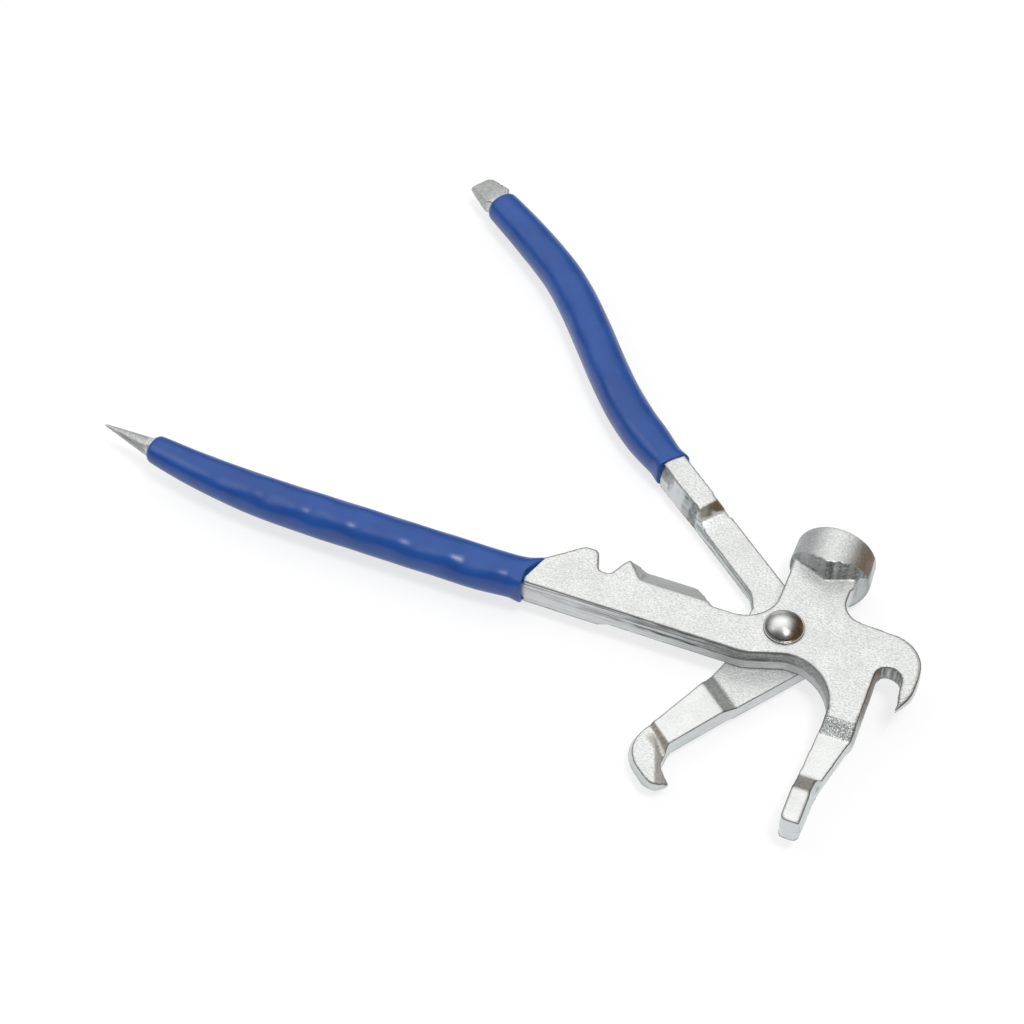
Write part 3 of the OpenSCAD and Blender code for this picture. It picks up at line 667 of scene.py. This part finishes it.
def hammer_lever_piece():
    skin = Skin("hammer_lever", "forged_hammer_lever", 0.39 * MM)
    wall = rise(skin.flat, 0.6, 0.9)
    drum = rise(skin.at[1], *DRUM_Y)
    forge_walls(skin, wall * (1 - drum), SHANK_PART_Z,
                draft=0.2 / 4.2, bead=0.35, unevenness=0.04, size=9, seed=3)
    shape_drum(skin, wall, drum)
    back = shape_back(skin)
    jaw_step = shape_jaw(skin)
    shape_tooth(skin)
    flutes = shape_claw(skin, wall)
    spike = shape_spike(skin)
    skin.store()

    zones = [mark_shank(skin, drum), mark_hollow(skin), mark_blade(skin), mark_jaw(skin, jaw_step),
             mark_back(skin, back), mark_drum(skin, drum, back), mark_claw(skin, drum, flutes),
             mark_hammer_edges(skin, drum, spike), mark_hammer_walls(skin, drum, back),
             mark_spike(skin, spike)]
    # The small ledge beside the pad's ramp gets no tones or edge lines, so none of their painted shade
    x, y, z = skin.at
    ledge = band(y, LEDGE_Y, 0.3) * rise(x, LEDGE_X, LEDGE_X + 0.8) * fall(z, LEDGE_TOP - 0.7, LEDGE_TOP)
    finish_lever(skin, "hammer_side", zones, CLAW_GRIND, ledge)


# Places on the hook lever, in mm: x runs from the driver to the hook, y from the jaw to the handle's outside
HOOK_FOOT_Z = 1.35
HOOK_PART_Z = 4.2
HOOK_MIDDLE = (13.0, -47.0)
JAW_Y = (-16, -12)
JAW_RAMP_Y = (-27, -21.8)
DROP_Y = (-46.4, -44.6)
LIP_Y = (-46.4, -45.4)
HANDLE_X = (-50.0, -49.0)
INNER_X = (-72, -49.9)
TRIMMED_X = (-57.5, -50.0)
BULGE_X = -61.5
STEP_X = (-51, -46)
FILLET_X, FILLET_LENGTH = -43.2, 4.2
HOOK_END_X, HOOK_END_Y = (19, 22.5), (-50, -44.5)
ARM_Y = (-46, -44)
DRIVER_X = (-195, -193.5)
DRIVER_TIP_X = (-204.5, -203)
DRIVER_Y = 15.8
# Middle of the lip's ground lines in the CAD frame, so far off that they are nearly straight
LIP_GRIND = (-206.7, -119.3)

# How far the dressed hook lever departs from its solid, in mm
HANDLE_BULGE = 0.45
FILLET_HEIGHT = 0.75


def shape_hook(skin):
    """The hook's end is rolled over at its top and bottom."""
    x, y, z = skin.at
    end = fall(y, *HOOK_END_Y) * fall(x, *HOOK_END_X)
    above = z - HOOK_FOOT_Z
    shrink = 0.09 * rise(above, 2, 5) + 0.07 * fall(above, 0, 2) - 0.02
    skin.co[:, :2] -= (skin.co[:, :2] - HOOK_MIDDLE) * (end * shrink)[:, None]


def shape_handle(skin):
    """The handle's inner side was trimmed by hand: flats, and a bulge between the grip and the step."""
    x, z = skin.at[::2]
    inner = rise(-skin.no[:, 1], 0.4, 0.8) * band(x, INNER_X, 0.6)
    flats = 0.55 * band(x, (-71, -64.0), 1.4) + 0.75 * band(x, (-58.2, -50.5), 1.2)
    flats = flats + 0.16 * waves(skin.co, 3.2, 15)
    skin.co[:, 1] += inner * np.clip(flats, -0.15, 0.9) * rise(z, 4.0, 9.0)
    skin.co[:, 1] -= HANDLE_BULGE * np.exp(-((x - BULGE_X) / 2.6) ** 2) * inner * band(z, (2.5, 8.5), 1.5)


def shape_step_and_driver(skin):
    """The step is rounded at its top and filleted at its foot, and the driver wider at its outer side."""
    x, y, z = skin.at
    fillet = np.clip((FILLET_X - x) / FILLET_LENGTH, 0, 1) ** 2 * rise(skin.no[:, 2], 0.7, 0.9)
    skin.co[:, 2] += FILLET_HEIGHT * fillet * fall(z, 8, 9) * rise(z, 4.9, 5.6)
    at_step = band(x, (-52.4, -46.2), 0.7) * rise(z, 4.9, 5.6)
    driver = fall(x, *DRIVER_X)
    share = 0.5 * most(at_step, 0.5 * driver * fall(x, *DRIVER_TIP_X))[:, None]
    for _ in range(36):
        skin.co += share * (skin.links.mean(skin.co) - skin.co)
    skin.co[:, 1] += 0.22 * driver * np.maximum(y - DRIVER_Y, 0)
    return at_step, driver


def mark_handle(skin, facing, handle, ragged):
    """The trimmed inner side, dark in two ragged patches."""
    x, z = skin.at[::2]
    at_grip = band(x + 0.5 * ragged, (-71.5, -63.8), 0.7) * rise(z + ragged, 4.4, 5.6)
    by_step = 0.36 * band(x + 0.5 * ragged, TRIMMED_X, 0.9)
    at_step = 0.42 * band(x + 0.4 * ragged, (-54.0, -50.2), 0.5)
    return {"dark": facing * handle * (0.55 * at_grip + by_step + at_step),
            "streak": 0.6 * facing * handle * band(x, TRIMMED_X, 0.7)}


def mark_plate(skin, facing, handle, jaw, ragged):
    """The plate's inner wall, dark on its parting line and, near the boss, darkened above it by painted
    shade.
    """
    x, z = skin.at[::2]
    wall = facing * (1 - handle) * (1 - jaw)
    above = 0.6 * band(x, (-20.5, -14), 1) * rise(z + 0.5 * ragged, 3.4, 4.2)
    return {"dark": wall * most(above, 0.7 * band(z, (4.0, 5.0), 0.25)), "streak": 0.6 * wall}


def mark_hook_jaw(skin, jaw, top_line):
    """The jaw's ramp and the drop in front of the hook in painted shade, the arm in a brown painted warm
    reflection with a dark line, the hook's ground lip, and painted shade over a highlight beside the lip.
    """
    x, y = skin.at[:2]
    nx, nz = skin.no.T[::2]
    ramp = band(y, JAW_RAMP_Y, 0.3) * band(nz, (0.5, 0.985), 0.03) * rise(x, -4, -2)
    drop = band(y, DROP_Y, 0.25) * band(nz, (0.3, 0.96), 0.04)
    arm = skin.side * rise(nx, 0.4, 0.8) * jaw * rise(y, *ARM_Y) * top_line
    lip = fall(y, *LIP_Y) * band(nz, (0.6, 0.97), 0.02) * rise(x, 8, 10)
    # Painted shade over the highlight of the fillet between the drop and the lip
    crescent = band(y, (-48.8, -45.5), 0.3) * rise(x, 7, 9) * rise(nz, 0.3, 0.5)
    return {"dark": most(0.62 * ramp, 0.65 * drop),
            "brown": most(0.5 * drop, 0.85 * arm, 0.38 * lip, 0.5 * crescent),
            "edge": 0.6 * arm * rise(waves(skin.co, 6, 17), -0.8, 0.2),
            "ground": 0.55 * lip,
            "bare": 0.6 * band(y, (-45.5, -26.5), 0.5)}


def mark_step(skin, ragged):
    """The step's riser, brown and dark at its upper end: a painted warm reflection and painted shade."""
    x, y, z = skin.at
    riser = band(x, (-51, -47.2), 0.4) * band(skin.no[:, 2], (0.25, 0.93), 0.08)
    riser = riser * rise(z + 0.5 * ragged, 6.9, 8.0) * rise(y, 2.6, 4.2)
    outward = y + 0.6 * ragged
    return {"dark": 0.6 * riser * rise(outward, 4.5, 7.5),
            "brown": riser * (0.6 + 0.4 * rise(outward, 6.0, 8.6)),
            "bare": 0.8 * band(x, (-50.5, -46), 0.5) * (1 - skin.up)}


def mark_hook_edges(skin, top_line, at_step, driver):
    """Painted shade in dark lines along and under the edges, apart from the rounded step."""
    elsewhere = 1 - band(skin.at[0], STEP_X, 0.5)
    rim = skin.links.soften(skin.side, 4) * skin.up * elsewhere
    return {"dark": most(0.6 * top_line * elsewhere, 0.2 * rise(rim, 0.12, 0.4)),
            "edge": edge_shade(skin) * (1 - driver) * (1 - 0.7 * at_step)}


def mark_hook_walls(skin, driver):
    """The walls are bare, with a cool painted reflection, apart from the step's riser and the driver, which
    is darker.
    """
    x = skin.at[0]
    riser = band(x, (-51.5, -46.0), 0.4) * rise(skin.no[:, 0], 0.3, 0.6)
    return {"dark": 0.52 * driver,
            "streak": 0.1 * skin.side,
            "bare": most(0.9 * driver, 0.75 * skin.side),
            "cool": 0.7 * skin.side * (1 - driver) * (1 - riser)}


def hook_lever_piece():
    skin = Skin("hook_lever", "forged_hook_lever", 0.36 * MM, OPEN_TURN)
    jaw = fall(skin.at[1], *JAW_Y)
    wall = rise(skin.flat, 0.6, 0.9)
    forge_walls(skin, wall, HOOK_PART_Z, draft=0.16 / 3, bead=0.3, unevenness=0.03, size=8, seed=13)
    shape_hook(skin)
    shape_handle(skin)
    at_step, driver = shape_step_and_driver(skin)
    skin.store()

    handle = fall(skin.at[0], *HANDLE_X)
    facing = skin.side * rise(-skin.no[:, 1], 0.3, 0.7)
    top_line = skin.under_edge(4, 0.06, 0.3) * (1 - driver)
    ragged = 0.9 * waves(skin.co, 2.6, 16)
    zones = [mark_handle(skin, facing, handle, ragged), mark_plate(skin, facing, handle, jaw, ragged),
             mark_hook_jaw(skin, jaw, top_line), mark_step(skin, ragged),
             mark_hook_edges(skin, top_line, at_step, driver), mark_hook_walls(skin, driver)]
    finish_lever(skin, "hook_side", zones, LIP_GRIND)


# Rivet, in mm
HEAD_RADIUS = 5.8
HEAD_RIM = 0.6
HEAD_DOME = 2.6
# The head was upset a little off the pin's middle
HEAD_SHIFT = 0.45
TAIL_RADIUS = 6.0
TAIL_HEIGHT = 1.2
PIN_RADIUS = 4.0


def lathe(name, profile, sides):
    """A turned piece about the pivot's axis; profile is (radius, height) in mm, from axis to axis."""
    points, faces, rings = [], [], []
    for r, z in profile:
        around = sides if r > 0 else 1
        rings.append(range(len(points), len(points) + around))
        for i in range(around):
            a = 2 * math.pi * i / sides
            points.append((r * math.cos(a) * MM, r * math.sin(a) * MM, z * MM))
    for low, high in zip(rings, rings[1:]):
        for i in range(sides):
            j = i + 1
            face = [low[i % len(low)], low[j % len(low)], high[j % len(high)], high[i % len(high)]]
            faces.append([v for k, v in enumerate(face) if v not in face[:k]])
    mesh = bpy.data.meshes.new(name)
    mesh.from_pydata(points, [], faces)
    return add_object(name, mesh)


def arc(cx, cz, r, a0, a1, n):
    turns = [math.radians(a0 + (a1 - a0) * i / n) for i in range(n + 1)]
    return [(cx + r * math.cos(a), cz + r * math.sin(a)) for a in turns]


def rivet_profile():
    """From the tail's middle round the tail, up the pin, over the head's flange and up its dome."""
    rim_top = JOINT_TOP + HEAD_RIM
    dome_radius = (HEAD_RADIUS ** 2 + HEAD_DOME ** 2) / (2 * HEAD_DOME)
    half = math.degrees(math.asin((HEAD_RADIUS - 0.62) / dome_radius))
    dome = arc(0, rim_top + HEAD_DOME - dome_radius, dome_radius, 90 - half, 90, 20)
    tail = [(0, 0)] + arc(TAIL_RADIUS - 0.6, 0.6, 0.6, -90, 0, 6)
    tail += [(TAIL_RADIUS, TAIL_HEIGHT - 0.15), (TAIL_RADIUS - 0.15, TAIL_HEIGHT)]
    pin = [(PIN_RADIUS, TAIL_HEIGHT), (PIN_RADIUS, JOINT_TOP)]
    side = [(HEAD_RADIUS - 0.12, JOINT_TOP), (HEAD_RADIUS, JOINT_TOP + 0.12), (HEAD_RADIUS, rim_top - 0.14)]
    flange = [(HEAD_RADIUS - inward, rim_top - drop) for inward, drop in
              ((0.06, 0.03), (0.18, 0), (0.36, 0), (0.46, 0.04), (0.54, 0.12))]
    return tail + pin + side + flange + dome[:-1] + [(0, dome[-1][1])]


def rivet_piece():
    piece = lathe("turned_rivet", rivet_profile(), 96)
    mesh = piece.data
    co = points_of(mesh)
    height = co[:, 2] / MM
    co[:, 1] += HEAD_SHIFT * MM * rise(height, JOINT_TOP - 0.2, JOINT_TOP)
    set_points(mesh, co)
    out = np.hypot(co[:, 0], co[:, 1] - HEAD_SHIFT * MM) / MM
    flange = band(out, (HEAD_RADIUS - 0.4, HEAD_RADIUS - 0.05), 0.03)
    flange = flange * rise(height, JOINT_TOP + 0.3, JOINT_TOP + 0.5)
    mesh.attributes.new("flange", "FLOAT", "POINT").data.foreach_set("value", flange.astype(np.float32))
    dress(piece, "pivot_rivet", "hammer_side", polished_steel_painted_light("rivet_polish_painted_light"))


# Grips, in mm
AROUND = 96
ROW_STEP = 0.7
LIP_RADIUS = 0.4
END_RADIUS = 1.9
# How far a sleeve widens from its mouth, creeps along the steel, is squarer than further on, and tapers
MOUTH_LENGTH, CREEP_LENGTH, SQUARE_LENGTH, TIP_LENGTH = 15, 9, 4, 66
# Where the ridge that fingers press on lies, seen along the handle
RIDGE_ANGLE = math.radians(117)


def hammer_path(s):
    """Middle line of the hammer lever's grip: straight, and then bending towards the other handle."""
    return -7.85 + max(0, s - 142) ** 2 / 580


def hook_path(s):
    """Middle line of the hook lever's grip: swept outwards, and then bending back."""
    return 6.4 + 11.2 * rise(s, 86, 160) - max(0, s - 160) ** 2 / 600


class Sleeve:
    """A dipped sleeve, close on the steel at its mouth, which creeps along one side, and round at its end.

    Lengths are in mm, along the handle from the pivot. mouth, middle and tip are its half widths on the -y
    and the +y side and its half height.
    """

    def __init__(self, path, height, start, end, creep, mouth, middle, tip):
        self.path = path
        self.height = height
        self.start = start
        self.end = end
        self.creep = creep
        self.sections = list(zip(mouth, middle, tip))

    def rows(self):
        """Places along the sleeve, and how much less its half widths are there at its rounded lip and end."""
        lip = [math.radians(18 * i) for i in range(6)]
        far = [math.radians(90 * i / 7) for i in range(8)]
        body = np.arange(self.start + LIP_RADIUS + 0.4, self.end - END_RADIUS - 0.4, ROW_STEP)
        return ([(self.start + LIP_RADIUS * (1 - math.cos(a)), LIP_RADIUS * (1 - math.sin(a))) for a in lip]
                + [(s, 0) for s in body]
                + [(self.end - END_RADIUS * (1 - math.sin(a)), END_RADIUS * (1 - math.cos(a))) for a in far])

    def ring(self, s, cut):
        """The points round the sleeve at s, its half widths and height being cut by so much."""
        to_tip = max(0.0, (s - self.end + TIP_LENGTH) / TIP_LENGTH) ** 2.4
        from_mouth = rise(s, self.start, self.start + MOUTH_LENGTH)
        creeping = fall(s, self.start, self.start + CREEP_LENGTH)
        squareness = 2.25 + 1.1 * fall(s, self.start, self.start + SQUARE_LENGTH)
        power = 2 / squareness
        low, high, tall = [(a * (1 - from_mouth) + b * from_mouth) * (1 - to_tip) + c * to_tip - cut
                           for a, b, c in self.sections]
        centre = self.path(s)
        slope = (self.path(s + 0.01) - self.path(s - 0.01)) / 0.02
        size = math.hypot(1, slope)
        points = []
        for k in range(AROUND):
            angle = 2 * math.pi * k / AROUND
            c, d = math.cos(angle), math.sin(angle)
            inner = max(0.0, c) ** 0.7
            along = s - self.creep * creeping * inner
            across = math.copysign(abs(c) ** power, c) * (high if c > 0 else low)
            across += 0.36 * self.creep * creeping * creeping * inner
            upward = self.height + 0.4 * to_tip + math.copysign(abs(d) ** power, d) * tall
            points.append((across * slope / size - along, centre + across / size, upward))
        return points


def tube(name, points):
    """A closed mesh through rings of points."""
    rows = len(points) // AROUND
    faces = [[i * AROUND + k, i * AROUND + (k + 1) % AROUND,
              (i + 1) * AROUND + (k + 1) % AROUND, (i + 1) * AROUND + k]
             for i in range(rows - 1) for k in range(AROUND)]
    faces.append(list(range(AROUND)))
    faces.append([(rows - 1) * AROUND + k for k in range(AROUND)])
    mesh = bpy.data.meshes.new(name)
    mesh.from_pydata(points, [], faces)
    bm = bmesh.new()
    bm.from_mesh(mesh)
    bmesh.ops.recalc_face_normals(bm, faces=bm.faces)
    bm.to_mesh(mesh)
    bm.free()
    return mesh


def grip(node, name, body, sleeve, dent, hollows, seed, turn=0.0):
    """Builds a sleeve with the hollows that use has pressed into its upper ridge.

    dent is how deep they are, and hollows are the places of their near slopes.
    """
    rows = sleeve.rows()
    mesh = tube(name, [point for s, cut in rows for point in sleeve.ring(s, cut)])
    s = np.array(rows)[:, 0]
    worked = rise(s, hollows[0] - 6, hollows[0] + 8) * fall(s, hollows[-1] - 8, hollows[-1] + 6)
    phase = 2 * math.pi * np.interp(s, hollows, range(len(hollows)))
    wave = np.sin(phase + 0.4 * np.sin(phase))
    angles = 2 * math.pi * np.arange(AROUND) / AROUND
    ridge = np.maximum(0, np.cos(angles - RIDGE_ANGLE)) ** 3.5
    on_ridge = np.outer(worked, ridge).ravel()
    pressed = np.outer(-dent * worked * wave, ridge).ravel()

    co, no = points_of(mesh), normals_of(mesh)
    uneven = 0.05 * (1 + waves(co * (0.7, 1, 1), 12, seed)) + 0.12 * on_ridge * waves(co, 11, seed + 2, 7)
    set_points(mesh, turned((co - no * (uneven + pressed)[:, None]) * MM, turn))
    dress(add_object(name, mesh), node, body, dipped_vinyl(name + "_vinyl"))


# Floor, light and camera
def add_floor():
    bm = bmesh.new()
    bmesh.ops.create_grid(bm, x_segments=1, y_segments=1, size=3.0)
    mesh = bpy.data.meshes.new("floor")
    bm.to_mesh(mesh)
    bm.free()
    floor = add_object("floor", mesh)
    floor.location.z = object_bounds()[0].z - 0.1 * MM
    s = Shade("floor_paper")
    s.set(Base_Color=(0.93, 0.93, 0.93, 1), Roughness=0.9)
    # Seen by the camera and in the metal, the paper is mostly white light, and it keeps the object's shadow
    rays = s.node("ShaderNodeLightPath").outputs
    seen = s.math("MAXIMUM", rays["Is Glossy Ray"], rays["Is Transmission Ray"])
    seen = s.math("MAXIMUM", rays["Is Camera Ray"], seen)
    white = s.node("ShaderNodeEmission", {"Color": (1, 1, 1, 1), "Strength": 1.0}).outputs[0]
    share = s.math("MULTIPLY", seen, 0.72)
    mixed = s.node("ShaderNodeMixShader", {0: share, 1: s.bsdf.outputs[0], 2: white}).outputs[0]
    s.tree.links.new(mixed, s.tree.nodes["Material Output"].inputs[0])
    floor.data.materials.append(s.material)


def add_world():
    """A studio with a wide soft light high behind the object, and dim near the camera."""
    made = bpy.data.worlds.new("studio")
    bpy.context.scene.world = made
    made.use_nodes = True
    tree = made.node_tree
    tree.nodes.clear()

    def node(kind, values, **settings):
        new = tree.nodes.new(kind)
        for key, value in settings.items():
            setattr(new, key, value)
        for key, value in values.items():
            if isinstance(value, bpy.types.NodeSocket):
                tree.links.new(value, new.inputs[key])
            else:
                new.inputs[key].default_value = value
        return new.outputs

    light_way = (-0.30, 0.26, 0.917)
    dim, bright = 0.28, 1.32
    way = node("ShaderNodeTexCoord", {})["Generated"]
    nearness = node("ShaderNodeVectorMath", {0: way, 1: light_way}, operation="DOT_PRODUCT")["Value"]
    strength = node("ShaderNodeMapRange", {0: nearness, 1: 0.58, 2: 0.93, 3: dim, 4: bright},
                    interpolation_type="SMOOTHSTEP")[0]
    shade = node("ShaderNodeBackground", {"Color": (1, 0.998, 0.99, 1), "Strength": strength})[0]
    node("ShaderNodeOutputWorld", {0: shade})


def add_lamp(name, place, target, size, power):
    data = bpy.data.lights.new(name, "AREA")
    data.size = size
    data.energy = power
    lamp = add_object(name, data)
    lamp.location = place
    lamp.rotation_euler = (Vector(target) - Vector(place)).to_track_quat("-Z", "Y").to_euler()


def add_camera():
    """The photograph's camera."""
    right = Vector((0.9278889, 0.3728567, 0))
    up = Vector((-0.2897641, 0.7211051, 0.6293204))
    back = Vector((0.2346463, -0.5839394, 0.7771460))
    place = Vector((0.0780686, -0.3962026, 0.5554551))
    camera = add_object("camera", bpy.data.cameras.new("camera"))
    camera.matrix_world = Matrix.Translation(place) @ Matrix((right, up, back)).transposed().to_4x4()
    camera.data.sensor_width = 36
    camera.data.lens = 85.008
    camera.data.clip_start = 0.01
    bpy.context.scene.camera = camera


hammer_lever_piece()
hook_lever_piece()
rivet_piece()
grip("hammer_lever_grip", "dipped_hammer_grip", "hammer_side",
     Sleeve(hammer_path, height=9.25, start=73.6, end=195.0, creep=4.6,
            mouth=(5.6, 6.6, 5.6), middle=(6.7, 6.25, 6.0), tip=(4.2, 4.2, 3.9)),
     dent=0.42, hollows=(78.0, 93.5, 109.6, 126.0, 140.6, 156.0, 172.0), seed=11)
grip("hook_lever_grip", "dipped_hook_grip", "hook_side",
     Sleeve(hook_path, height=6.1, start=69.8, end=193.0, creep=0.8,
            mouth=(5.1, 5.6, 5.4), middle=(6.4, 6.5, 6.0), tip=(5.4, 5.4, 4.9)),
     dent=0.05, hollows=(80.0, 104.0, 128.0, 152.0, 178.0), seed=21, turn=-OPEN_TURN)
add_floor()
add_world()
add_lamp("key", place=(0.775, -0.62, 2.94), target=(-0.03, 0, 0), size=0.7, power=46)
add_lamp("left", place=(-0.85, -0.2, 0.75), target=(-0.07, 0, 0), size=0.6, power=1.4)
add_camera()
bpy.context.scene.view_settings.view_transform = "Standard"
